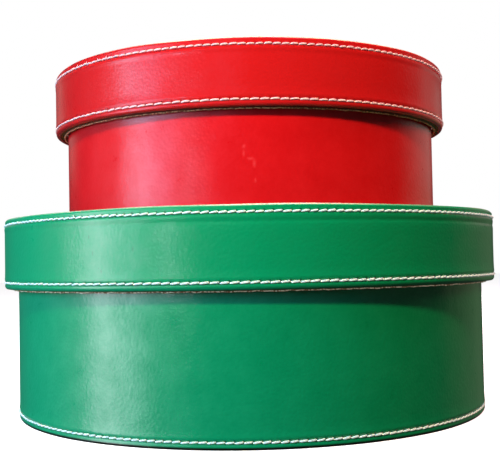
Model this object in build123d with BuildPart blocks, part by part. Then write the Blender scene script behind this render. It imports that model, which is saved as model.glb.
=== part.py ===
from build123d import *
import os

# Round collar boxes, a small one standing in the dished lid of a large one
# All sizes in millimetres, +Z up, the origin under the middle of the large box

# Large box
large_base_radius = 95.0
large_base_height = 70.15
large_lid_height = 26.85
large_lid_clearance = 1.3

# Small box, and how far it stands off the middle of the large lid
small_base_radius = 75.85
small_base_height = 53.6
small_lid_height = 23.4
small_lid_clearance = 1.0
stack_offset = 1.1

# Thicknesses of the hides, boards and linings
band_leather = 1.7
panel_leather = 1.4
base_wall_board = 1.9
lid_wall_board = 1.2
panel_board = 2.0
wall_lining = 0.6
panel_lining = 0.8
glue_line = 0.1

# Dished panels: how far they lie inside the rim and the foot
rim_depth = 3.0
foot_depth = 4.0

# Edges of the bands, boards and linings
rim_bevel = 0.35
lid_edge_bevel = 0.7
foot_bevel = 0.5
board_set_back = 0.3
lining_drop = 0.65

# Butt seam at the back of each band
seam_gap = 0.3
cut_overrun = 1.0


def save(piece, name):
    # label the piece and write its file
    piece.part.label = name
    export_step(piece.part, f"parts/{name}.step")


def level(box, height):
    # horizontal plane of one box, this far above its foot
    return Plane(origin=(box["x"], 0, box["foot"] + height))


def disc(box, name, radius, bottom, thickness):
    # flat round panel
    with BuildPart() as piece:
        with BuildSketch(level(box, bottom)):
            Circle(radius)
        extrude(amount=thickness)
    save(piece, name)


def hoop(box, name, outer, thickness, bottom, top):
    # plain round wall
    with BuildPart() as piece:
        with BuildSketch(level(box, bottom)):
            Circle(outer)
            Circle(outer - thickness, mode=Mode.SUBTRACT)
        extrude(amount=top - bottom)
    save(piece, name)


def leather_band(box, name, outer, bottom, top, lower_bevel):
    # outer band of hide: edges bevelled, its two ends butted at the back
    with BuildPart() as piece:
        with BuildSketch(level(box, bottom)):
            Circle(outer)
            Circle(outer - band_leather, mode=Mode.SUBTRACT)
        extrude(amount=top - bottom)
        rims = piece.edges().filter_by(GeomType.CIRCLE).group_by(Axis.Z)
        lower_edge = rims[0].sort_by(SortBy.RADIUS)[-1]
        upper_edge = rims[-1].sort_by(SortBy.RADIUS)[-1]
        chamfer(lower_edge, min(lower_bevel, band_leather / 2))
        chamfer(upper_edge, min(rim_bevel, band_leather / 2))
        with BuildSketch(level(box, bottom)):
            with Locations((0, outer)):
                Rectangle(seam_gap, 2 * (band_leather + cut_overrun))
        extrude(amount=top - bottom, mode=Mode.SUBTRACT)
    save(piece, name)


def dished_panel(box, name, outer, face, rim):
    # round panel of hide, its edge turned to a flange: face is the sunk side, rim the flange's edge
    turn = 1 if rim > face else -1
    with BuildPart() as piece:
        with BuildSketch(level(box, rim)):
            Circle(outer)
        extrude(amount=-turn * (abs(rim - face) + panel_leather))
        with BuildSketch(level(box, rim)):
            Circle(outer - panel_leather)
        extrude(amount=-turn * abs(rim - face), mode=Mode.SUBTRACT)
    save(piece, name)


def build_box(box):
    # radii of the base, from the outside in
    name = box["name"]
    base_radius = box["base_radius"]
    base_board_radius = base_radius - band_leather - glue_line
    base_lining_radius = base_board_radius - base_wall_board - glue_line
    base_inside = base_lining_radius - wall_lining

    # radii of the lid, which slips over the base
    lid_inside = base_radius + box["lid_clearance"]
    lid_lining_radius = lid_inside + wall_lining
    lid_board_radius = lid_lining_radius + glue_line + lid_wall_board
    lid_radius = lid_board_radius + glue_line + band_leather

    # heights above the foot: the floor, then the lid, which rests on the base's rim
    panel_top = foot_depth + panel_leather
    floor_top = panel_top + panel_board + panel_lining
    base_top = box["base_height"]
    ceiling_top = base_top + panel_lining
    lid_board_top = ceiling_top + panel_board
    lid_face = lid_board_top + panel_leather
    lid_top = lid_face + rim_depth
    lid_bottom = lid_top - box["lid_height"]

    # base
    leather_band(box, f"{name}_base_band", base_radius, 0, base_top, foot_bevel)
    dished_panel(box, f"{name}_base_panel", base_board_radius, foot_depth, 0)
    hoop(box, f"{name}_base_wall_board", base_board_radius, base_wall_board, panel_top, base_top)
    disc(box, f"{name}_base_floor_board", base_lining_radius, panel_top, panel_board)
    disc(box, f"{name}_base_floor_lining", base_lining_radius, panel_top + panel_board, panel_lining)
    hoop(box, f"{name}_base_wall_lining", base_lining_radius, wall_lining, floor_top, base_top)

    # lid
    leather_band(box, f"{name}_lid_band", lid_radius, lid_bottom, lid_top, lid_edge_bevel)
    dished_panel(box, f"{name}_lid_panel", lid_board_radius, lid_face, lid_top)
    board_bottom = lid_bottom + board_set_back
    hoop(box, f"{name}_lid_wall_board", lid_board_radius, lid_wall_board, board_bottom, lid_board_top)
    disc(box, f"{name}_lid_top_board", lid_lining_radius, ceiling_top, panel_board)
    disc(box, f"{name}_lid_ceiling_lining", lid_lining_radius, base_top, panel_lining)
    hoop(box, f"{name}_lid_wall_lining", lid_lining_radius, wall_lining, lid_bottom - lining_drop, base_top)
    print(f"{name}: lid {2 * lid_radius:.2f} wide, box {lid_top:.2f} high, inside {2 * base_inside:.2f} wide")
    return box["foot"] + lid_face


os.makedirs("parts", exist_ok=True)

large_box = {
    "name": "large",
    "x": 0,
    "foot": 0,
    "base_radius": large_base_radius,
    "base_height": large_base_height,
    "lid_height": large_lid_height,
    "lid_clearance": large_lid_clearance,
}
large_lid_face = build_box(large_box)

small_box = {
    "name": "small",
    "x": stack_offset,
    "foot": large_lid_face,
    "base_radius": small_base_radius,
    "base_height": small_base_height,
    "lid_height": small_lid_height,
    "lid_clearance": small_lid_clearance,
}
build_box(small_box)
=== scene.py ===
import math

import bpy
import numpy as np
from mathutils import Matrix, Vector


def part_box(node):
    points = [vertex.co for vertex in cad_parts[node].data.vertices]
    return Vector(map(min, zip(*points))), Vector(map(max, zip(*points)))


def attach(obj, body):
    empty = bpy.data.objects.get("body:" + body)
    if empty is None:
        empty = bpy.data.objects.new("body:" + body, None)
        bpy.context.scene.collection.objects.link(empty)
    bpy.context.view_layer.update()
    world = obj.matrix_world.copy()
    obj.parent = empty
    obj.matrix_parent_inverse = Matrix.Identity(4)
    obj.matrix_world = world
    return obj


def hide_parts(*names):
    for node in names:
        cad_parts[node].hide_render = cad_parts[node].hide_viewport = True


# Two round leather collar boxes, a small red one standing in the dished lid of a large green one
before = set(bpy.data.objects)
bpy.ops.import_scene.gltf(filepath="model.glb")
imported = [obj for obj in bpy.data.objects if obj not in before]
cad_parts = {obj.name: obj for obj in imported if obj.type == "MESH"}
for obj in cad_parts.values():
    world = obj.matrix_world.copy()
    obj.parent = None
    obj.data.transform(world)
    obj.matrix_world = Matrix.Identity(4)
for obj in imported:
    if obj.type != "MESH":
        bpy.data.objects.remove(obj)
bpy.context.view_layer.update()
print("frame loaded:", len(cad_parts), "nodes")

mm = 0.001
fullTurn = 2 * math.pi
cornerTurn = np.linspace(0, math.pi / 2, 8)    # round a quarter of a circle, where a hide is bent


def measureBox(name):
    # one box as the frame has it: its centre line, and each round node's outer radius and levels
    low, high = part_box(name + "_base_floor_board")
    box = {"name": name, "x": (low.x + high.x) / 2}
    for node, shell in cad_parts.items():
        if node.startswith(name + "_"):
            places = np.empty(3 * len(shell.data.vertices), np.float32)
            shell.data.vertices.foreach_get("co", places)
            x, y, z = places.reshape(-1, 3).astype(float).T
            reach = float(np.hypot(x - box["x"], y).max())
            box[node[len(name) + 1:]] = {"radius": reach, "low": float(z.min()), "high": float(z.max())}
    return box


largeBox = measureBox("large")
smallBox = measureBox("small")


# Meshes from grids

def gridFaces(index, closeRound, closeAcross):
    # quads between neighbours of an index grid; a quad that has lost a corner to a pole is a triangle
    a = index if closeRound else index[:-1]
    b = np.roll(index, -1, axis=0) if closeRound else index[1:]
    if closeAcross:
        c, d = np.roll(b, -1, axis=1), np.roll(a, -1, axis=1)
    else:
        a, b, c, d = a[:, :-1], b[:, :-1], b[:, 1:], a[:, 1:]
    quads = np.stack([a, b, c, d], axis=-1).reshape(-1, 4)
    lost = (quads[:, 0] == quads[:, 1]) | (quads[:, 2] == quads[:, 3])
    faces = quads[~lost].tolist()
    for quad in quads[lost].tolist():
        faces.append(list(dict.fromkeys(quad)))
    return faces


sharpCorner = 50    # degrees, between faces that don't shade into each other


def meshPiece(name, points, faces, marks, material):
    # an object at the origin with its place in its mesh; marks are numbers stored on the points
    mesh = bpy.data.meshes.new(name)
    mesh.from_pydata(points.tolist(), [], faces)
    for markName, values in marks.items():
        kind = "FLOAT_VECTOR" if values.ndim == 2 else "FLOAT"
        layer = mesh.attributes.new(markName, kind, "POINT")
        layer.data.foreach_set("vector" if values.ndim == 2 else "value", values.astype(np.float32).ravel())
    mesh.polygons.foreach_set("use_smooth", np.ones(len(mesh.polygons), bool))
    mesh.set_sharp_from_angle(angle=math.radians(sharpCorner))
    mesh.materials.append(material)
    mesh.update()
    piece = bpy.data.objects.new(name, mesh)
    bpy.context.scene.collection.objects.link(piece)
    return piece


def turnedPiece(name, box, radius, angles, depth, level, marks, material, seamed, poles=False):
    # a profile carried round an upright axis: at angle a from the front the point lies at
    # x + (radius - depth) sin a, -(radius - depth) cos a, level, with depth and level given for
    # every angle and profile point; seamed pieces end at the back, the rest close on themselves
    reach = radius - depth
    turn = angles[:, None]
    points = np.stack([box["x"] + reach * np.sin(turn), -reach * np.cos(turn), level + 0 * reach], axis=-1)
    count, across = depth.shape
    index = np.arange(count * across).reshape(count, across)
    if poles:
        index[:, 0] = index[0, 0]
        index[:, -1] = index[0, -1]
    used, packed = np.unique(index, return_inverse=True)    # a pole is one point
    index = packed.reshape(index.shape)
    faces = gridFaces(index, not seamed, not poles)
    if seamed:
        faces.append(index[0].tolist())
        faces.append(index[-1][::-1].tolist())
    flat = points.reshape(-1, 3)[used]
    kept = {k: np.broadcast_to(v, (count, across) + v.shape[2:]).reshape(-1, *v.shape[2:])[used]
            for k, v in marks.items()}
    return meshPiece(name, flat, faces, kept, material)


def waviness(angles, level, seed, size, orders):
    # a sum of cosines round the box, each with its own share and phase and a slow twist with height, up
    # to 25 radians to a metre: share times the cosine of order times angle + phase + twist times level,
    # over the root of how many there are
    rng = np.random.default_rng(seed)
    total = 0
    for order in orders:
        phase, twist, share = rng.uniform(0, fullTurn), rng.uniform(-25, 25), rng.uniform(0.5, 1.0)
        wave = np.cos(order * angles[:, None] + phase + twist * level)
        total = total + share * wave / math.sqrt(len(orders))
    return size * total


# Materials

def linear(hexColour):
    # sRGB hex to linear red, green, blue and an alpha of 1
    parts = [int(hexColour[i:i + 2], 16) / 255 for i in (1, 3, 5)]
    return [p / 12.92 if p <= 0.04045 else ((p + 0.055) / 1.055) ** 2.4 for p in parts] + [1.0]


def addNode(tree, kind, values=None):
    # one node: each value is a property of its own, a number or a hex colour for one of its sockets,
    # or another node's socket, which is linked to it
    node = tree.nodes.new("ShaderNode" + kind)
    for key, value in (values or {}).items():
        if str(key) in node.bl_rna.properties:
            setattr(node, key, value)
        elif isinstance(value, bpy.types.NodeSocket):
            tree.links.new(value, node.inputs[key])
        else:
            node.inputs[key].default_value = linear(value) if isinstance(value, str) else value
    return node


def startMaterial(name):
    # an empty node tree with its output, and the piece's own coordinates
    material = bpy.data.materials.new(name)
    material.use_nodes = True
    tree = material.node_tree
    tree.nodes.clear()
    out = addNode(tree, "OutputMaterial")
    place = addNode(tree, "TexCoord").outputs["Object"]
    return material, tree, out, place


def perMetre(size):
    # how many cells of this size in millimetres go into a metre
    return 1 / (size * mm)


hideLooks = {
    # light and dark are the two ends of the mottled dye; the next colour is painted shade, darker on the
    # lids and their tops to take back the extra light the close front lamp gives them; mark is a spot's
    # colour, dark marks on the green and on the red painted highlights on small dents and light scuffs;
    # shine the tint of the gloss; the slit colour is painted shade in the needle slits and under the thread,
    # and foot painted shadow along the foot where it meets what the box stands on; seed sets the mottle's
    # pattern; spots are small marks on a part's wall: turn from the front in degrees, then mm up from its
    # lower edge, across and in height
    "coatedHideGreen": {
        "light": "#00A26A", "dark": "#008654", "deep": "#00945E", "mark": "#005C3C", "shine": "#FFC8CC",
        "slit": "#04261A", "slitShare": 0.65, "foot": "#03140C", "seed": 0.0,
        "spots": (
            ("lid_band", -31.7, 17.9, 0.4, 1.0), ("lid_band", -30.8, 12.5, 0.35, 1.2),
            ("lid_band", -29.4, 7.6, 0.3, 0.4), ("lid_band", -28.8, 6.6, 0.45, 0.9),
            ("lid_band", -21.8, 13.6, 0.4, 1.2)),
    },
    "coatedHideRed": {
        "light": "#E0161C", "dark": "#C40C12", "deep": "#C41618", "mark": "#F0474C", "shine": "#80C4CC",
        "slit": "#70080E", "slitShare": 0.4, "foot": "#2C0406", "seed": 3.7,
        "spots": (
            ("base_band", -1.7, 24.2, 0.8, 0.9), ("base_band", -1.8, 21.8, 0.6, 1.6),
            ("base_band", -0.1, 20.0, 1.6, 0.7), ("base_band", 0.9, 18.3, 0.8, 1.9),
            ("base_band", 1.1, 12.5, 0.5, 1.1)),
    },
}
hideFinish = {
    "fibre": ("#D8C7A4", "#EEE2CA"),    # the cut fibre of the hide, where its edge paint has worn off
    "fibreSize": 0.9,                   # mm, bundles of fibre, coarser than they are so that they show
    "fibreOver": (0.4, 0.55),           # of the pattern, from the darker to the paler bundles
    "fibreRough": 0.85,
    "spot": 0.5,                        # how far a spot changes the colour
    "spotDepth": 1.5,                   # mm, how far into the wall a spot reaches
    "soiled": (0.6, 1.3),               # mm above the foot, where the painted shadow along the foot is full and gone
    "grain": 1.1,                       # mm, pressed grain, coarser than the real 0.3 mm so that it shows
    "grainDepth": 0.045,                # mm
    "swell": 16,                        # mm, slow unevenness of the hide over its board
    "swellDepth": 0.10,                 # mm
    "mottle": 9,                        # mm, patches of stronger and weaker dye
    "rough": (0.25, 0.32),
    "shineLevel": (0.46, 0.86),
    "shineOver": (0.35, 0.65),          # of the mottle, over which the shine changes
}
# painted shade: how far the dark needle slits and the painted shadow line under the thread reach
slit = {
    "reach": 2.1,                          # mm from a row, past which nothing is drawn
    "wide": (0.05, 0.13),                  # of a stitch, where its dark core ends and where it's gone
    "tall": (0.55, 0.95),                  # mm, the same in height
    "under": (0.10, 0.42), "below": 0.5,   # mm, the dark line under the thread, and how far down it is
    "underDark": 0.35,
}


def spotMask(tree, place, box, spots):
    # the strongest of a few soft spots, each a ball stretched to its own width and height
    strongest = None
    for part, turn, up, wide, tall in spots:
        angle, reach = math.radians(turn), box[part]["radius"]
        level = box[part]["low"] + up * mm
        centre = (box["x"] + reach * math.sin(angle), -reach * math.cos(angle), level)
        scale = [perMetre(size) for size in (wide, hideFinish["spotDepth"], tall)]
        moved = [-at * size for at, size in zip(centre, scale)]
        local = addNode(tree, "Mapping", {"Vector": place, "Location": moved, "Scale": scale})
        ball = addNode(tree, "TexGradient", {
            "gradient_type": "SPHERICAL", "Vector": local.outputs["Vector"]}).outputs["Fac"]
        if strongest:
            ball = addNode(tree, "Math", {
                "operation": "MAXIMUM", 0: strongest, 1: ball}).outputs["Value"]
        strongest = ball
    return strongest


def slitMask(tree):
    # from the sewn rows' own mark, its first number counting stitches along the row and its second
    # the millimetres above it: painted shade in a slit at each whole number, and a painted shadow line under
    # the thread
    row = addNode(tree, "Attribute", {"attribute_name": "sewing"})
    parts = addNode(tree, "SeparateXYZ", {"Vector": row.outputs["Vector"]}).outputs
    along = addNode(tree, "Math", {"operation": "PINGPONG", 0: parts["X"], 1: 0.5})
    height = addNode(tree, "Math", {"operation": "ABSOLUTE", 0: parts["Y"]})
    lower = addNode(tree, "Math", {"operation": "ADD", 0: parts["Y"], 1: slit["below"]})
    below = addNode(tree, "Math", {"operation": "ABSOLUTE", 0: lower.outputs["Value"]})
    masks = []
    for distance, (full, gone) in ((along, slit["wide"]), (height, slit["tall"]), (below, slit["under"])):
        masks.append(addNode(tree, "MapRange", {
            "interpolation_type": "SMOOTHSTEP", "Value": distance.outputs["Value"], "From Min": gone,
            "From Max": full}).outputs["Result"])
    cut = addNode(tree, "Math", {"operation": "MULTIPLY", 0: masks[0], 1: masks[1]})
    line = addNode(tree, "Math", {"operation": "MULTIPLY", 0: masks[2], 1: slit["underDark"]})
    dark = addNode(tree, "Math", {
        "operation": "MAXIMUM", 0: cut.outputs["Value"], 1: line.outputs["Value"]})
    return addNode(tree, "Math", {
        "operation": "MULTIPLY", 0: dark.outputs["Value"], 1: parts["Z"]}).outputs["Value"]


def hideMaterial(name, look, box):
    # corrected-grain cow hide, pigmented and plated smooth under heat: one strong even colour under
    # a soft gloss, a fine grain that breaks up the highlight, a few spots, on the red painted highlights
    # on small dents and light scuffs, and painted shade on the lids, in the needle slits, under the
    # thread and along the foot
    finish = hideFinish
    material, tree, out, place = startMaterial(name)
    mottle = addNode(tree, "TexNoise", {
        "noise_dimensions": "4D", "Vector": place, "W": look["seed"], "Scale": perMetre(finish["mottle"]),
        "Detail": 6, "Roughness": 0.72}).outputs["Fac"]
    colour = addNode(tree, "Mix", {
        "data_type": "RGBA", 0: mottle, 6: look["dark"], 7: look["light"]}).outputs[2]
    # painted shade: the lids and their tops are darker, to take back the extra light the close front lamp
    # gives them
    dyed = addNode(tree, "Attribute", {"attribute_name": "dyed"}).outputs["Fac"]
    # spots: dark marks on the green, and on the red lighter ones, painted highlights on small dents and
    # light scuffs
    spot = addNode(tree, "Math", {
        "operation": "MULTIPLY", 0: spotMask(tree, place, box, look["spots"]), 1: finish["spot"]})
    # the cut edge shows fibre where it's bare
    edge = addNode(tree, "Attribute", {"attribute_name": "rawEdge"}).outputs["Fac"]
    fibre = addNode(tree, "TexNoise", {
        "Vector": place, "Scale": perMetre(finish["fibreSize"]), "Detail": 2})
    bundle = addNode(tree, "MapRange", {
        "interpolation_type": "SMOOTHSTEP", "Value": fibre.outputs["Fac"],
        "From Min": finish["fibreOver"][0], "From Max": finish["fibreOver"][1]})
    bare = addNode(tree, "Mix", {
        "data_type": "RGBA", 0: bundle.outputs["Result"], 6: finish["fibre"][0],
        7: finish["fibre"][1]}).outputs[2]
    # painted shade in the needle slits and painted shadow under the thread
    slitShading = addNode(tree, "Math", {
        "operation": "MULTIPLY", 0: slitMask(tree), 1: look["slitShare"]})
    # painted shadow: the foot's lowest edge is darkened where it meets what the box stands on
    level = addNode(tree, "SeparateXYZ", {"Vector": place}).outputs["Z"]
    full, gone = [box["base_band"]["low"] + up * mm for up in finish["soiled"]]
    soiled = addNode(tree, "MapRange", {
        "interpolation_type": "SMOOTHSTEP", "Value": level, "From Min": gone, "From Max": full})
    # laid over the dye: painted shade on the lids, the spots, the bare cut edge, painted shade in the slits
    # and painted shadow along the foot
    layers = (
        (dyed, look["deep"]),
        (spot.outputs["Value"], look["mark"]),
        (edge, bare),
        (slitShading.outputs["Value"], look["slit"]),
        (soiled.outputs["Result"], look["foot"]),
    )
    for share, over in layers:
        colour = addNode(tree, "Mix", {
            "data_type": "RGBA", 0: share, 6: colour, 7: over}).outputs[2]
    # relief: the slow swell, then the grain
    swell = addNode(tree, "TexNoise", {
        "Vector": place, "Scale": perMetre(finish["swell"]), "Detail": 1})
    wave = addNode(tree, "Bump", {
        "Strength": 1, "Distance": finish["swellDepth"] * mm, "Height": swell.outputs["Fac"]})
    grain = addNode(tree, "TexVoronoi", {
        "feature": "SMOOTH_F1", "Vector": place, "Scale": perMetre(finish["grain"]), "Smoothness": 0.6})
    pebble = addNode(tree, "Bump", {
        "invert": True, "Strength": 1, "Distance": finish["grainDepth"] * mm,
        "Height": grain.outputs["Distance"], "Normal": wave.outputs["Normal"]})
    plated = addNode(tree, "MapRange", {
        "Value": mottle, "To Min": finish["rough"][0], "To Max": finish["rough"][1]})
    rough = addNode(tree, "Mix", {
        "data_type": "FLOAT", 0: edge, 2: plated.outputs["Result"], 3: finish["fibreRough"]})
    shine = addNode(tree, "MapRange", {
        "Value": mottle, "From Min": finish["shineOver"][0], "From Max": finish["shineOver"][1],
        "To Min": finish["shineLevel"][0], "To Max": finish["shineLevel"][1]})
    shader = addNode(tree, "BsdfPrincipled", {
        "Base Color": colour, "Roughness": rough.outputs[0], "IOR": 1.5,
        "Specular IOR Level": shine.outputs["Result"], "Specular Tint": look["shine"],
        "Normal": pebble.outputs["Normal"]})
    tree.links.new(shader.outputs["BSDF"], out.inputs["Surface"])
    return material


suedeCoat = {
    "light": "#C9A878", "dark": "#A98457",
    "patch": 16,                  # mm, patches where the nap lies over
    "nap": 0.6, "strand": 0.7,    # mm, coarser than real fibres so that they show
    "strandOver": (0.4, 0.58),    # of the pattern, from the dark to the pale strands
    "napDepth": 0.12,             # mm
    "napShare": 0.4,              # of the tone, the rest is the patches'
}
suedeLooks = {
    # the glued back seen under the hide's edge is dark, partly from glue and partly as painted shade under
    # the hide's overhang; edge and edgeDark are the strands of the cut edge, made pale as painted light that
    # keeps the edge lit in the hide's shadow, and glow is painted light, a glow of the cut edge
    "buffedSuedeTan": {"glued": "#8E6238", "edge": "#FFEFCC", "edgeDark": "#8E6A48", "glow": 0.19},
    # this copy is painted redder to cancel the green light bounced onto it from the green lid below
    "buffedSuedeRusset": {"glued": "#843418", "edge": "#FFB080", "edgeDark": "#A04C2C", "glow": 0.02},
}


def suedeMaterial(name, look):
    # split hide buffed to a nap: no gloss, soft patches where the nap lies over, pale at grazing
    # angles; its cut edge is a thin line of pale and dark strands
    look = dict(suedeCoat, **look)
    material, tree, out, place = startMaterial(name)
    patch = addNode(tree, "TexNoise", {
        "Vector": place, "Scale": perMetre(look["patch"]), "Detail": 4, "Roughness": 0.65})
    nap = addNode(tree, "TexNoise", {
        "Vector": place, "Scale": perMetre(look["nap"]), "Detail": 3})
    tone = addNode(tree, "Mix", {
        "data_type": "FLOAT", 0: look["napShare"], 2: patch.outputs["Fac"], 3: nap.outputs["Fac"]})
    colour = addNode(tree, "Mix", {
        "data_type": "RGBA", 0: tone.outputs[0], 6: look["dark"],
        7: look["light"]}).outputs[2]
    strand = addNode(tree, "TexNoise", {
        "Vector": place, "Scale": perMetre(look["strand"]), "Detail": 1})
    pale = addNode(tree, "MapRange", {
        "interpolation_type": "SMOOTHSTEP", "Value": strand.outputs["Fac"],
        "From Min": look["strandOver"][0], "From Max": look["strandOver"][1]})
    cut = addNode(tree, "Mix", {
        "data_type": "RGBA", 0: pale.outputs["Result"], 6: look["edgeDark"],
        7: look["edge"]}).outputs[2]
    # the lining's own mark: its first number is the glued back, darkened as painted shade, and its second
    # the cut edge
    mark = addNode(tree, "Attribute", {"attribute_name": "cutSide"})
    side = addNode(tree, "SeparateXYZ", {"Vector": mark.outputs["Vector"]}).outputs
    # painted shade on the glued back under the hide's edge, then the cut edge
    for share, over in ((side["X"], look["glued"]), (side["Y"], cut)):
        colour = addNode(tree, "Mix", {
            "data_type": "RGBA", 0: share, 6: colour, 7: over}).outputs[2]
    pile = addNode(tree, "Bump", {
        "Strength": 1, "Distance": look["napDepth"] * mm, "Height": nap.outputs["Fac"]})
    # painted light: the cut edge glows in its own colour
    glow = addNode(tree, "Math", {"operation": "MULTIPLY", 0: side["Y"], 1: look["glow"]})
    shader = addNode(tree, "BsdfPrincipled", {
        "Base Color": colour, "Roughness": 0.95, "IOR": 1.4, "Sheen Weight": 0.2, "Sheen Roughness": 0.5,
        "Emission Color": cut, "Emission Strength": glow.outputs["Value"],
        "Normal": pile.outputs["Normal"]})
    tree.links.new(shader.outputs["BSDF"], out.inputs["Surface"])
    return material


boardLook = {
    "light": "#9A6238", "dark": "#6A4024",
    "fibre": 1.1,          # mm, its short fibres, coarser than they are so that they show
    "layers": 3,           # how much finer the pattern is in height, across the rolled layers
    "fibreDepth": 0.1,     # mm
}


def boardMaterial(name, look):
    # fibre board rolled in layers: dull brown, with faint lines of its layers and short fibres
    material, tree, out, place = startMaterial(name)
    layers = addNode(tree, "Mapping", {"Vector": place, "Scale": (1, 1, look["layers"])})
    fibre = addNode(tree, "TexNoise", {
        "Vector": layers.outputs["Vector"], "Scale": perMetre(look["fibre"]), "Detail": 4,
        "Roughness": 0.7}).outputs["Fac"]
    colour = addNode(tree, "Mix", {
        "data_type": "RGBA", 0: fibre, 6: look["dark"], 7: look["light"]})
    relief = addNode(tree, "Bump", {
        "Strength": 0.6, "Distance": look["fibreDepth"] * mm, "Height": fibre})
    shader = addNode(tree, "BsdfPrincipled", {
        "Base Color": colour.outputs[2], "Roughness": 0.88, "IOR": 1.45,
        "Normal": relief.outputs["Normal"]})
    tree.links.new(shader.outputs["BSDF"], out.inputs["Surface"])
    return material


threadLooks = {
    # glow is painted light: the thread glows a little so that it stays pale in shade; the white thread's
    # pink and the cream one's mint are painted light bounced off the red and the green hide
    "waxedThreadCream": {"light": "#DCEEE8", "dark": "#C4D8CE", "glow": 0.27},
    "waxedThreadWhite": {"light": "#EECBC8", "dark": "#DEA8AA", "glow": 0.25},
}
plyDepth = 0.08    # mm, the groove between the two plies of a thread


def threadMaterial(name, look):
    # waxed two-ply linen thread: pale, a dull shine, and a groove where the two plies lie together,
    # its colour darker there as painted shade
    material, tree, out, place = startMaterial(name)
    ply = addNode(tree, "Attribute", {"attribute_name": "ply"})
    split = addNode(tree, "SeparateXYZ", {"Vector": ply.outputs["Vector"]})
    crown = addNode(tree, "Math", {
        "operation": "ABSOLUTE", 0: split.outputs["X"]}).outputs["Value"]
    # painted shade: darker in the groove between the plies
    colour = addNode(tree, "Mix", {
        "data_type": "RGBA", 0: crown, 6: look["dark"], 7: look["light"]}).outputs[2]
    relief = addNode(tree, "Bump", {"Strength": 0.4, "Distance": plyDepth * mm, "Height": crown})
    # painted light: the thread glows in its own colour
    shader = addNode(tree, "BsdfPrincipled", {
        "Base Color": colour, "Roughness": 0.5, "IOR": 1.45, "Emission Color": colour,
        "Emission Strength": look["glow"], "Normal": relief.outputs["Normal"]})
    tree.links.new(shader.outputs["BSDF"], out.inputs["Surface"])
    return material


hideGreen, hideRed = [hideMaterial(name, look, box) for (name, look), box in
    zip(hideLooks.items(), (largeBox, smallBox))]
threadCream, threadWhite = [threadMaterial(name, look) for name, look in threadLooks.items()]
suedes = dict(zip(("large", "small"), [suedeMaterial(*pair) for pair in suedeLooks.items()]))
board = boardMaterial("rolledFibreBoard", boardLook)
print("materials made")


# Sewn rows

def wallRow(ring, level, count, start=0.0):
    # a row of so many stitches round a band, turned by a share of a stitch, its start; its side is 1
    # on an outer wall and -1 on one that faces the axis
    return {"level": level, "count": count, "start": start, "radius": ring["radius"], "side": 1}


sewnHide = {
    # mm
    "trough": 0.28, "troughWide": 0.5,                         # the thread pulls the hide in along the row
    "pillow": 0.12, "pillowAway": 1.5, "pillowWide": 0.8,      # the hide swells beside it
    "pit": {"large": 0.15, "small": 0.04}, "pitWide": 0.34, "pitTall": 0.4,    # at each needle hole
}


def sewnDepth(angles, level, row, name):
    # a trough along the row, less a swell at each side, and a pit at each hole: each is its depth times
    # e to the minus square of the distance from it over its width
    sewn = sewnHide
    away = (level - row["level"])[None, :] / mm
    swell = np.exp(-((np.abs(away) - sewn["pillowAway"]) / sewn["pillowWide"]) ** 2)
    steps = angles * row["count"] / fullTurn + row["start"]
    along = (steps - np.round(steps))[:, None] * fullTurn * row["radius"] / row["count"] / mm
    hole = np.exp(-(along / sewn["pitWide"]) ** 2 - (away / sewn["pitTall"]) ** 2)
    trough = sewn["trough"] * np.exp(-(away / sewn["troughWide"]) ** 2)
    return (trough - sewn["pillow"] * swell + sewn["pit"][name] * hole) * mm


def onWall(box, row, upright, along, out, across, base, level):
    # from lengths along a stitch, out of the surface and across the stitch to a point: angle is base +
    # along / radius, reach is radius + out, height is level + across; an upright row runs in height
    angle = base + (-row["side"] * across if upright else row["side"] * along) / row["radius"]
    height = along if upright else across
    reach = row["radius"] + row["side"] * out
    return np.stack([box["x"] + reach * np.sin(angle), -reach * np.cos(angle), level + height], axis=-1)


stitchShapes = {
    # mm: the thread lying down, the gap to the next stitch, how much it climbs to its right, its bow
    # and how far its ends dive
    "large": {"wide": 0.66, "tall": 0.62, "gap": 0.08, "slant": 0.32, "arch": 0.04, "dive": 0.34},
    "small": {"wide": 0.66, "tall": 0.60, "gap": 0.26, "slant": 0.12, "arch": 0.16, "dive": 0.22},
}
stitchRings = {
    "place": (0, 0.06, 0.16, 0.34, 0.58, 0.8, 0.94, 1),    # sections along a stitch
    "full": (0.5, 0.7, 0.88, 1, 1, 0.98, 0.84, 0.55),      # its thickness there
    "rise": (0, 0.5, 0.82, 1, 1, 0.95, 0.62, 0.15),        # out of its slit to its crown
    "bow": (0, 0.2, 0.48, 0.84, 1, 0.86, 0.6, 0.5),
    "sides": 6, "twist": 1.2,                              # round the thread, and turns of its plies
    "crown": 0.10,                                         # mm, of its middle line out of the hide
    "uneven": (0.02, 0.05, 0.05, 0.04, 0.02),    # of length and of width, and mm of slant, place, height
}


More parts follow.
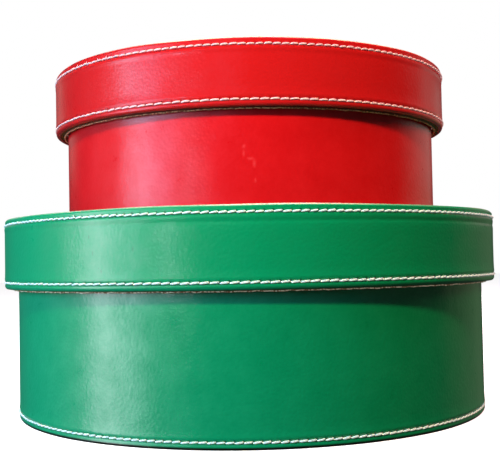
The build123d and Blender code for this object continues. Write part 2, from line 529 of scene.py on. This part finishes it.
def sewRow(name, box, row, material, body, slot, seed, bases=None, levels=None, length=None, upright=False,
           size=1.0, sink=0.0):
    # one mesh of separate stitches: each is a tube from one slit of the row to the next, whose ring is
    # at every section the ellipse of width times cosine and height times sine round its middle line,
    # and that line bows and dives at its ends
    shape, rings = stitchShapes[box["name"]], stitchRings
    rng = np.random.default_rng(seed)
    if bases is None:
        bases = (np.arange(row["count"]) + 0.5 - row["start"]) * fullTurn / row["count"]
        length = fullTurn * row["radius"] / row["count"] - shape["gap"] * mm
    base = np.asarray(bases, float)[:, None, None]
    level = np.broadcast_to(row["level"] if levels is None else levels, len(bases))[:, None, None]
    s, full, rise, bow = [np.array(rings[key])[None, :, None] for key in ("place", "full", "rise", "bow")]
    theta = -np.arange(rings["sides"])[None, None, :] * fullTurn / rings["sides"]
    uneven = np.array(rings["uneven"])[:, None, None, None]
    longer, wider, slanted, shifted, raised = uneven * rng.normal(size=(5, len(bases), 1, 1)).clip(-2, 2)
    wide = shape["wide"] / 2 * size * full * (1 + wider) * mm
    tall = shape["tall"] / 2 * size * full * mm
    centreOut = (rings["crown"] - shape["dive"] * (1 - rise) * size - sink + raised) * mm
    climb = (shape["slant"] + slanted) * (s - 0.5) + shape["arch"] * (bow - 0.5)
    along = length * (1 + longer) * (s - 0.5) + 0 * theta
    out = centreOut - tall * np.sin(theta)
    across = (climb * size + shifted) * mm + wide * np.cos(theta)
    points = onWall(box, row, upright, along, out, across, base, level)
    lay = theta + rings["twist"] * fullTurn * s + 0 * base
    ply = np.stack([np.cos(lay), np.sin(lay), 0 * lay], axis=-1)
    one = np.arange(s.size * rings["sides"]).reshape(s.size, rings["sides"])
    ringOn = np.roll(one, -1, axis=1)
    quads = np.stack([one[:-1], one[1:], ringOn[1:], ringOn[:-1]], axis=-1).reshape(-1, 4)
    ends = np.stack([one[0], one[-1][::-1]])
    first = np.arange(len(bases))[:, None, None] * one.size
    faces = (quads + first).reshape(-1, 4).tolist() + (ends + first).reshape(-1, rings["sides"]).tolist()
    piece = meshPiece(name, points.reshape(-1, 3), faces, {"ply": ply.reshape(-1, 3)}, material)
    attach(piece, body)


# Outer hides

rimWave = {
    "size": 0.15,    # mm, how far the cut rim is from level
    "orders": (2, 3, 5, 9, 14), "seeds": {"large": 11, "small": 12},
}
wornRims = {
    # degrees from the front to the barest stretch and its half width, and how bare the rest is
    "large": {"turn": 4, "spread": 13, "least": 0.22, "seed": 71},
    "small": {"turn": 10, "spread": 30, "least": 0.3, "seed": 72},
}
wornPatches = {"size": 0.22, "orders": (3, 5, 8, 19)}
oneLevel = np.zeros(1)    # for waves that are the same at every height


def rimLift(angles, box):
    # how far the rim rises or falls from level, the same for the band and the flange sewn to it
    return waviness(angles, oneLevel, rimWave["seeds"][box["name"]], rimWave["size"] * mm, rimWave["orders"])


def wornEdge(angles, box):
    # how bare of paint the cut edge of the rim is: most in one stretch, and by patches elsewhere
    worn = wornRims[box["name"]]
    away = (np.degrees(angles) - worn["turn"] + 180) % 360 - 180
    stretch = np.exp(-((away / worn["spread"]) ** 2))[:, None]
    patches = waviness(angles, oneLevel, worn["seed"], wornPatches["size"], wornPatches["orders"])
    return np.clip(worn["least"] + stretch + patches, 0, 1)


wallGrid = {
    # mm: steps up the bare wall, and closer ones away from each row and across the crease
    "wide": 2.4, "beside": (0, 0.2, 0.4, 0.6, 0.8, 1, 1.25, 1.6, 2), "clear": 2.2,
    "crease": (-1.2, 0.8, 6), "creaseClear": 1.4,
    "atSeam": (0, 0.12, 0.3, 0.6),    # columns beside a cut end
    "perStitch": 6,                   # columns to a stitch
}


def seamAngles(count, radius, gap):
    # angles from one edge of the butt seam, at the back, round the front to the other, with columns
    # set closer beside the two cut ends
    half = gap / 2 / radius
    whole = np.linspace(-math.pi + half, math.pi - half, count)
    near = np.array(wallGrid["atSeam"]) * mm / radius
    lost = len(near) - 1
    return np.concatenate([whole[0] + near, whole[lost:-lost], (whole[-1] - near)[::-1]])


def wallLevels(low, high, rows, crease):
    # levels up a wall: wide steps, and narrow ones beside each sewn row and at the crease
    wide = np.linspace(low, high, max(3, round((high - low) / (wallGrid["wide"] * mm))))
    beside = np.array(wallGrid["beside"])
    near = np.concatenate([-beside[:0:-1], beside]) * mm
    for row in rows:
        wide = wide[np.abs(wide - row["level"]) > wallGrid["clear"] * mm]
    wide = wide[np.abs(wide - crease) > wallGrid["creaseClear"] * mm]
    narrow = [row["level"] + near for row in rows] + [crease + np.linspace(*wallGrid["crease"]) * mm]
    levels = np.sort(np.concatenate([wide] + narrow))
    return levels[(levels > low) & (levels < high)]


hides = {
    # up and down are mm from the lower edge and the rim to a row, with its count of stitches; roll and
    # rollUp are how far the rounded lower edge draws in and how high it reaches
    "large_lid": {
        "up": 2.45, "upCount": 198, "down": 2.34, "downCount": 218, "roll": 0.9, "rollUp": 2.0, "seed": 21},
    "large_base": {
        "up": 2.5, "upCount": 205, "down": 2.5, "downCount": 205, "roll": 0.5, "rollUp": 0.7, "seed": 22},
    "small_lid": {
        "up": 2.14, "upCount": 149, "down": 2.59, "downCount": 170, "roll": 0.9, "rollUp": 2.0, "seed": 23},
    "small_base": {
        "up": 2.9, "upCount": 161, "down": 2.5, "downCount": 161, "roll": 0.5, "rollUp": 0.7, "seed": 24},
}
hideCut = {
    # mm, where nothing else is said
    "thick": 1.7,
    "wave": 0.12, "waveOrders": (2, 3, 5, 8),          # how far the wall strays from round
    "ripple": 0.25, "rippleOrders": (13, 21, 34),      # of that wave, in shorter ones
    "rippleSeed": 50,                                  # more than the hide's own
    "shoulder": 0.3, "shoulderTall": 1.2,              # the band draws in above its rim row
    "seam": 0.3, "seamDip": 0.3, "seamDipWide": 0.45,  # the butt seam, whose cut ends are rounded
    "seamRow": 4.0, "seamTrough": 0.8,                 # the rows beside it, their trough as a share
    "seamGap": 0.3,                                    # between their stitches
    "rimTurn": 0.3,                                    # of a stitch, from the edge row to the rim row
    "liftTall": 4,                                     # how far down the rim's unevenness reaches
    # the rim's outer corner, from the wall to the crown: inwards and down
    "rim": (
        (0, 0.95), (0.03, 0.7), (0.1, 0.52), (0.2, 0.4), (0.22, 0.38), (0.4, 0.14), (0.62, 0.03), (0.85, 0)),
    "grainPoints": 4,         # points of the rim that still carry the grain side
}
flangeLine = {
    # mm, the line on a lid's band where the flange behind it ends, and the swell under the line
    "down": 3.0, "depth": 0.11, "wide": 0.45,
    "swell": 0.13, "swellDown": 2.2, "swellWide": 1.4,
    "share": {"large": 1.0, "small": 0.12},            # how much of it shows
    "least": 0.15, "most": 0.85, "turn": 0.75,         # radians from the front, where it is deepest
    "patch": 0.1, "patchOrders": (4, 7), "patchSeed": 90,
}


def flangeDepth(angles, level, crease, name, seed):
    # a gaussian line less a wider gaussian swell below it, deepest to the right of the front and faint
    # at the left: least + most times the cube of (1 + cosine of angle - turn) / 2
    line = flangeLine
    away = (level - crease)[None, :] / mm
    share = line["least"] + line["most"] * (0.5 + 0.5 * np.cos(angles - line["turn"]))[:, None] ** 3
    patches = waviness(angles, oneLevel, seed + line["patchSeed"], line["patch"], line["patchOrders"])
    dent = line["depth"] * np.exp(-(away / line["wide"]) ** 2)
    swell = line["swell"] * np.exp(-((away + line["swellDown"]) / line["swellWide"]) ** 2)
    return line["share"][name] * (share + patches) * (dent - swell) * mm


def bandDepth(box, part, angles, level, section, rows, crease):
    # how far the outside lies inside its ring: its section, a shoulder above the rim row (the smooth
    # step 3 s squared - 2 s cubed), slow waves, the sewn rows, a lid's flange line and the seam
    name, cut = box["name"], hideCut
    seed = hides[name + "_" + part]["seed"]
    step = np.clip((level - rows[1]["level"]) / (cut["shoulderTall"] * mm), 0, 1)
    depth = section + cut["shoulder"] * mm * step ** 2 * (3 - 2 * step)
    depth = depth + waviness(angles, level, seed, cut["wave"] * mm, cut["waveOrders"])
    ripple = cut["ripple"] * cut["wave"] * mm
    depth = depth + waviness(angles, level, seed + cut["rippleSeed"], ripple, cut["rippleOrders"])
    for row in rows:
        depth = depth + sewnDepth(angles, level, row, name)
    if part == "lid":
        depth = depth + flangeDepth(angles, level, crease, name, seed)
    fromSeam = (math.pi - np.abs(angles))[:, None] * box[part + "_band"]["radius"] / mm
    depth = depth + cut["seamDip"] * mm * np.exp(-(fromSeam / cut["seamDipWide"]) ** 2)
    betweenRows = (level > rows[0]["level"]) & (level < rows[1]["level"])
    besideSeam = np.exp(-((fromSeam - cut["seamRow"]) / sewnHide["troughWide"]) ** 2)
    return depth + cut["seamTrough"] * sewnHide["trough"] * mm * besideSeam * betweenRows[None, :]


def sewingMark(angles, level, rows, inside):
    # for the painted shade at the slits: stitches counted along the nearer row, millimetres above it, and
    # one near a row or nothing away from it; the points of the inside get nothing
    nearer = np.where(level > (rows[0]["level"] + rows[1]["level"]) / 2, 1, 0)
    counts, starts, levels = [
        np.array([row[key] for row in rows])[nearer] for key in ("count", "start", "level")]
    mark = np.zeros((len(angles), len(level) + inside, 3))
    mark[:, :len(level), 0] = angles[:, None] * counts / fullTurn + starts
    mark[:, :len(level), 1] = (level - levels) / mm
    mark[:, :len(level), 2] = np.abs(level - levels) < slit["reach"] * mm
    return mark


def bandHide(box, part, material):
    # the outer hide: a closed section, up the outside, in over the rim and down the inside, carried
    # round from one edge of the butt seam to the other
    name = box["name"] + "_" + part
    ring, hide, cut = box[part + "_band"], hides[name], hideCut
    low, high = ring["low"], ring["high"]
    lid = part == "lid"
    rows = [wallRow(ring, low + hide["up"] * mm, hide["upCount"]),
            wallRow(ring, high - hide["down"] * mm, hide["downCount"], cut["rimTurn"])]
    crease = rows[1]["level"] - flangeLine["down"] * mm
    columns = wallGrid["perStitch"] * max(hide["upCount"], hide["downCount"])
    angles = seamAngles(columns, ring["radius"], cut["seam"] * mm)
    roll, rollUp = hide["roll"] * mm, hide["rollUp"] * mm
    rim = np.array(cut["rim"]) * mm
    wall = wallLevels(low + rollUp, high - rim[0, 1], rows, crease)
    outLevel = np.concatenate([low + rollUp * (1 - np.cos(cornerTurn)), wall, high - rim[:, 1]])
    section = np.concatenate([roll * (1 - np.sin(cornerTurn)), 0 * wall, rim[:, 0]])
    depth = bandDepth(box, part, angles, outLevel, section, rows, crease)
    inLevel = np.array([high, (low + high) / 2, low])
    depth = np.concatenate([depth, np.full((len(angles), len(inLevel)), cut["thick"] * mm)], axis=1)
    level = np.concatenate([outLevel, inLevel])
    raw = np.zeros(len(level))
    raw[len(outLevel) - len(rim) + cut["grainPoints"]:-1] = 1
    lifted = np.clip((level - high + cut["liftTall"] * mm) / (cut["liftTall"] * mm), 0, 1)
    level = level[None, :] + (rimLift(angles, box) * lifted[None, :] if lid else 0 * depth)
    marks = {
        "rawEdge": raw[None, :] * wornEdge(angles, box),
        "sewing": sewingMark(angles, outLevel, rows, len(inLevel)),
        # painted shade on the lid's hide
        "dyed": np.full((1, len(raw)), float(lid)),
    }
    piece = turnedPiece(name + "_hide", box, ring["radius"], angles, depth, level, marks, material, True)
    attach(piece, name)
    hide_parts(name + "_band")
    return rows


# Dished panels of hide

dish = {
    "thick": 1.4, "bend": 1.6,    # mm, of the hide, and the radius where its flange turns
    "columns": 320, "flatRings": 22, "sideRings": 5,
    "sag": 0.12,                  # mm, slow unevenness of the flat
    "sagOrders": (0, 1, 2, 3), "sagTwist": 3, "sagSeed": 31,
    "sagWithin": 0.72,            # of the radius
    # its cut edge at the rim: inwards and down, as shares of its thickness
    "cutEdge": ((0.97, 0.12), (0.75, 0.02), (0.5, 0), (0.25, 0.02), (0.03, 0.12)),
}


def dishedHide(box, part, material):
    # a round panel with its edge turned to a flange: flat to the bend, a quarter round, straight to
    # the rim, over its domed cut edge and back; the lid's opens upwards and the base's downwards
    name = box["name"] + "_" + part
    ring = box[part + "_panel"]
    thick, bend = dish["thick"] * mm, dish["bend"] * mm
    up = 1 if part == "lid" else -1
    rim, back = (ring["high"], ring["low"]) if up > 0 else (ring["low"], ring["high"])
    face = back + up * thick
    flangeTop = abs(rim - face)
    angles = np.linspace(0, fullTurn, dish["columns"], endpoint=False)
    radius = ring["radius"]
    flat = np.linspace(0, 1, dish["flatRings"])[:-1] * (radius - thick - bend)
    side = np.linspace(0, 1, dish["sideRings"])[1:-1]
    edgeIn, edgeDown = np.array(dish["cutEdge"]).T
    # from the middle of the sunk side out to the rim and back to the middle of the glued side
    reach = np.concatenate([
        flat, radius - thick - bend + bend * np.sin(cornerTurn), 0 * side + radius - thick,
        radius - thick * edgeIn, 0 * side + radius, [radius, 0.5 * radius, 0]])
    height = np.concatenate([
        0 * flat, bend * (1 - np.cos(cornerTurn)), bend + (flangeTop - bend) * side,
        flangeTop - thick * edgeDown, flangeTop * (1 - side) - thick * side, [-thick, -thick, -thick]])
    raw = np.concatenate([0 * flat, 0 * cornerTurn, 0 * side, np.ones(len(edgeIn)), 0 * side, np.zeros(3)])
    grid = np.zeros((len(angles), 1))
    inner = (np.arange(len(reach)) < len(flat)) * np.clip(1 - reach / (dish["sagWithin"] * radius), 0, 1)
    seed = dish["sagSeed"] + up
    sag = waviness(angles, reach * dish["sagTwist"], seed, dish["sag"] * mm, dish["sagOrders"])
    sag = sag * inner[None, :] ** 0.5
    lift = rimLift(angles, box) * np.clip(height / flangeTop, 0, 1) if up > 0 else 0 * sag
    level = face + up * (height[None, :] + sag + grid) + lift
    depth = radius - reach[None, :] + grid
    if up > 0:
        depth, level, raw = depth[:, ::-1], level[:, ::-1], raw[::-1]
    # painted shade on the lid's top
    dyed = np.full((1, len(reach)), float(up > 0))
    marks = {"rawEdge": raw[None, :] * wornEdge(angles, box), "dyed": dyed}
    pieceName = name + ("_top_hide" if up > 0 else "_bottom_hide")
    piece = turnedPiece(pieceName, box, radius, angles, depth, level, marks, material, False, poles=True)
    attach(piece, name)
    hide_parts(name + "_panel")


# Suede linings of the walls

lining = {
    "thick": 0.6, "step": 0.42,                    # mm, of the suede, and between columns
    "ripple": 0.10, "beats": 3, "ragged": 0.12,    # mm, of its raw edge, and waves to a stitch
    "raggedOrders": (37, 53, 71, 113, 171), "raggedSeed": 41,
    "edge": 0.34,                                  # mm, how far up the cut edge shows
    "drawn": 0.08,                                 # of the height, over which the raw edge is uneven
}


def wallLining(box, part, material, edgeRow):
    # a thin round wall of suede; its lower edge on the lid is raw and drawn up between the stitches,
    # a cosine of three waves to a stitch with a slower waviness over it
    name = box["name"] + "_" + part
    ring = box[part + "_wall_lining"]
    low, high, radius = ring["low"], ring["high"], ring["radius"]
    count = round(fullTurn * radius / (lining["step"] * mm))
    angles = np.linspace(0, fullTurn, count, endpoint=False)
    edge = lining["edge"] * mm / (high - low)
    # round the section from the cut edge: share of the height, share of the thickness inwards, and
    # how much of a cut edge and of a glued back, painted dark as shade, each point is
    share = np.array([
        0, 0, 0.5 * edge, edge, 1.05 * edge, 0.1, 0.5, 1, 1, 0.5, 0.1, 1.5 * edge, 0.5 * edge, 0])
    inset = np.array([0.3, 0.08, 0, 0, 0, 0, 0, 0.05, 0.95, 1, 1, 1, 1, 0.9])
    cut = np.array([1, 1, 1, 1, 0, 0, 0, 0, 0, 0, 0, 0, 0, 1.0])
    # where the painted shade of the glued back goes
    glued = np.array([0, 0, 0, 0, 1, 1, 1, 1, 0, 0, 0, 0, 0, 0.0])
    level = (low + share * (high - low))[None, :] + np.zeros((count, 1))
    depth = (lining["thick"] * mm * inset)[None, :] + np.zeros((count, 1))
    sides = np.stack([glued, cut, 0 * cut], axis=-1)[None]
    if part == "lid":
        beat = np.cos(lining["beats"] * edgeRow["count"] * angles)[:, None]
        uneven = lining["ragged"] * mm
        ragged = waviness(angles, oneLevel, lining["raggedSeed"], uneven, lining["raggedOrders"])
        near = np.clip(1 - share / lining["drawn"], 0, 1)[None, :]
        level = level + (lining["ripple"] * mm * (0.5 + 0.5 * beat) + ragged) * near
    marks = {"cutSide": sides}
    piece = turnedPiece(name + "_lining", box, radius, angles, depth, level, marks, material, False)
    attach(piece, name)
    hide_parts(name + "_wall_lining")


bobbin = {
    # the thread on the hidden side: its size to the outer one's, mm that it lies deeper, and mm that its
    # row keeps clear of the dished face
    "size": 0.9, "sink": 0.2, "aboveFace": 1.1,
}
ticks = {
    # short upright stitches over the rim row where the thread was fastened off, in degrees
    "large_lid": (-35.6,), "small_lid": (-51.8, -47.2, -42.3, -38.8),
}
tick = {"length": 0.7, "up": 0.6, "size": 0.4}    # mm, and its size to a stitch's
rowSeeds = {"outerEdge": 61, "outerRim": 62, "flange": 63, "lining": 64, "seam": 65, "tick": 66}


def sewBody(box, part, thread, slot, edgeRow, rimRow):
    # the rows of one body: two round its wall with their bobbin sides, two beside the seam, and ticks
    body = box["name"] + "_" + part
    lid = part == "lid"
    edgeName = "_edge" if lid else "_foot"
    hidden = {"size": bobbin["size"], "sink": bobbin["sink"]}
    sewRow(body + edgeName + "_stitching", box, edgeRow, thread, body, slot, rowSeeds["outerEdge"])
    sewRow(body + "_rim_stitching", box, rimRow, thread, body, slot, rowSeeds["outerRim"])
    # inside, one of them shows on the lining and the other on the flange of the dished panel
    flange, wall = box[part + "_panel"], box[part + "_wall_lining"]
    face = flange["low"] + dish["thick"] * mm if lid else flange["high"] - dish["thick"] * mm
    onFlange, onLining = (rimRow, edgeRow) if lid else (edgeRow, rimRow)
    least = face + (1 if lid else -1) * bobbin["aboveFace"] * mm
    level = max(onFlange["level"], least) if lid else min(onFlange["level"], least)
    inner = dict(onFlange, side=-1, level=level, radius=flange["radius"] - dish["thick"] * mm)
    sewRow(body + "_flange_bobbin", box, inner, thread, body, slot, rowSeeds["flange"], **hidden)
    inner = dict(onLining, side=-1, radius=wall["radius"] - lining["thick"] * mm)
    sewRow(body + "_lining_bobbin", box, inner, thread, body, slot, rowSeeds["lining"], **hidden)
    span = rimRow["level"] - edgeRow["level"]
    count = round(span / (fullTurn * edgeRow["radius"] / edgeRow["count"]))
    levels = edgeRow["level"] + (np.arange(count) + 0.5) * span / count
    turn = math.pi - hideCut["seamRow"] * mm / edgeRow["radius"]
    sewRow(body + "_seam_stitching", box, edgeRow, thread, body, slot, rowSeeds["seam"],
           bases=np.repeat([turn, -turn], count), levels=np.tile(levels, 2),
           length=span / count - hideCut["seamGap"] * mm, upright=True)
    if body in ticks:
        sewRow(body + "_tick_stitching", box, rimRow, thread, body, slot, rowSeeds["tick"],
               bases=np.radians(ticks[body]), levels=rimRow["level"] + tick["up"] * mm,
               length=tick["length"] * mm, upright=True, size=tick["size"])


def dressBox(box, hide, thread, threadSlot):
    # every piece of one box
    name = box["name"]
    for part in ("base", "lid"):
        edgeRow, rimRow = bandHide(box, part, hide)
        dishedHide(box, part, hide)
        wallLining(box, part, suedes[name], edgeRow)
        sewBody(box, part, thread, threadSlot, edgeRow, rimRow)
    for node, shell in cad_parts.items():
        if node.startswith(name + "_") and not shell.hide_render:
            plain = board if "board" in node else suedes[name]
            for place in shell.material_slots:
                place.material = plain


dressBox(largeBox, hideGreen, threadCream, "thread_cream")
dressBox(smallBox, hideRed, threadWhite, "thread_white")
print("boxes dressed")


# Floor, light and camera

studio = {
    "floor": "#F4F4F2", "floorDark": "#F2F2F0", "floorSize": 6.0,    # metres
    "clouds": 3,           # to a metre, faint ones in the paper
    "floorGlow": 0.85,     # so that it stays white under the soft light
    "ambient": 0.045, "backdrop": 1.0,
}


def softbox(name, azimuth, height, distance, width, tall, power, colour, seen="both", aim=0.09):
    # an area light at this angle round from the front, turned to the middle of the boxes; some are
    # seen only in the hide's gloss and some only light its colour
    light = bpy.data.lights.new(name, "AREA")
    light.shape = "RECTANGLE"
    light.size, light.size_y = width, tall
    light.energy = power
    light.color = linear(colour)[:3]
    lamp = bpy.data.objects.new(name, light)
    turn = math.radians(azimuth)
    lamp.location = (distance * math.sin(turn), -distance * math.cos(turn), height)
    lamp.rotation_euler = (Vector((0, 0, aim)) - lamp.location).to_track_quat("-Z", "Y").to_euler()
    lamp.visible_camera = False
    lamp.visible_glossy = seen != "colour"
    lamp.visible_diffuse = seen != "gloss"
    bpy.context.scene.collection.objects.link(lamp)


def paleFloor():
    # matt white background paper: an even white without gloss, faintly clouded; it neither shades nor
    # colours the boxes, as in the photograph they stand on nothing
    half = studio["floorSize"] / 2
    points = np.array([(-half, -half, 0), (half, -half, 0), (half, half, 0), (-half, half, 0)])
    material, tree, out, place = startMaterial("mattWhitePaper")
    tone = addNode(tree, "TexNoise", {"Vector": place, "Scale": studio["clouds"], "Detail": 2})
    colour = addNode(tree, "Mix", {
        "data_type": "RGBA", 0: tone.outputs["Fac"], 6: studio["floorDark"],
        7: studio["floor"]})
    shader = addNode(tree, "BsdfPrincipled", {
        "Base Color": colour.outputs[2], "Roughness": 0.9, "Emission Color": "#FFFFFF",
        "Emission Strength": studio["floorGlow"]})
    tree.links.new(shader.outputs["BSDF"], out.inputs["Surface"])
    floor = meshPiece("floor", points, [[0, 1, 2, 3]], {}, material)
    floor.visible_diffuse = floor.visible_glossy = floor.visible_shadow = False


def studioWorld():
    # white where the camera looks past the boxes, a weaker even light on everything else
    world = bpy.data.worlds.new("studio")
    world.use_nodes = True
    tree = world.node_tree
    tree.nodes.clear()
    seen = addNode(tree, "LightPath")
    level = addNode(tree, "Mix", {
        "data_type": "FLOAT", 0: seen.outputs["Is Camera Ray"], 2: studio["ambient"], 3: studio["backdrop"]})
    light = addNode(tree, "Background", {
        "Color": "#FFFFFF", "Strength": level.outputs[0]})
    addNode(tree, "OutputWorld", {"Surface": light.outputs["Background"]})
    bpy.context.scene.world = world


softLights = (
    # name, degrees from the front, height, distance, width and tallness in metres, watts, colour, and
    # gloss or colour where only that is lit: a window at the left, a weaker light all round it and
    # behind, and a lamp close in front over the middle
    ("windowGloss", -67.5, 0.03, 1.0, 0.27, 0.65, 5.5, "#CCE2F8", "gloss"),
    ("windowDim", -52.5, 0.08, 1.0, 0.29, 0.6, 2.4, "#C4E2FF", "gloss"),
    ("windowSoft", -58, 0.35, 1.0, 0.42, 0.5, 13.9, "#8CC8FF", "colour"),
    ("leftSoft", -90, 0.05, 1.0, 0.5, 0.5, 5.2, "#D8DCEA", "colour"),
    ("edgeGloss", -140, 0.32, 1.0, 0.25, 0.25, 0.09, "#FFE8DC", "gloss"),
    ("stripGloss", -34, 0.13, 1.0, 0.07, 0.08, 0.7, "#C4E0FF", "gloss"),
    ("frontGloss", -24, 0.4, 1.0, 0.7, 0.4, 0.65, "#C4DCFF", "gloss"),
    ("mainSoft", -9.5, 0.275, 0.315, 0.03, 0.03, 1.16, "#FFDCA4", "colour"),
    ("warmSoft", 98, 0.75, 1.0, 0.5, 0.5, 10.0, "#FF8A70", "colour"),
    ("topSoft", 20, 1.2, 0.2, 0.6, 0.6, 9.5, "#DCE8FF"),
    ("backLow", 123, -0.03, 1.0, 0.8, 0.36, 0.21, "#BCF0A6", "gloss"),
    ("backMid", 127, 0.24, 1.0, 0.7, 0.18, 0.18, "#FFF0E0", "gloss"),
    ("backHigh", 113, 0.43, 1.0, 0.45, 0.2, 0.11, "#FFF0E0", "gloss"),
    ("rearSoft", 172, 0.5, 1.1, 0.4, 0.5, 7.0, "#FFF6EC"),
)
paleFloor()
studioWorld()
for softLight in softLights:
    softbox(*softLight)
bpy.context.scene.view_settings.view_transform = "Standard"    # colours as they are, with no film curve

photoView = {
    "pixels": (500, 469), "focal": 869.16,      # pixels of the photograph
    "place": (0, -0.36978, 0.05899),            # metres
    "yaw": 0.0012, "pitch": 0.0325, "roll": 0.0192,    # radians
}


def photoCamera(view):
    # the axes of the camera from its yaw, pitch and roll
    turnCos, turnSin = math.cos(view["yaw"]), math.sin(view["yaw"])
    pitchCos, pitchSin = math.cos(view["pitch"]), math.sin(view["pitch"])
    right = Vector((turnCos, -turnSin, 0))
    ahead = Vector((turnSin * pitchCos, turnCos * pitchCos, pitchSin))
    over = Vector((-turnSin * pitchSin, -turnCos * pitchSin, pitchCos))
    rollCos, rollSin = math.cos(view["roll"]), math.sin(view["roll"])
    data = bpy.data.cameras.new("photoCamera")
    data.sensor_width = 36
    data.lens = view["focal"] * data.sensor_width / view["pixels"][0]
    camera = bpy.data.objects.new("photoCamera", data)
    axes = Matrix((right * rollCos - over * rollSin, right * rollSin + over * rollCos, -ahead)).transposed()
    camera.matrix_world = Matrix.Translation(view["place"]) @ axes.to_4x4()
    bpy.context.scene.collection.objects.link(camera)
    bpy.context.scene.camera = camera


photoCamera(photoView)
print("stage set")
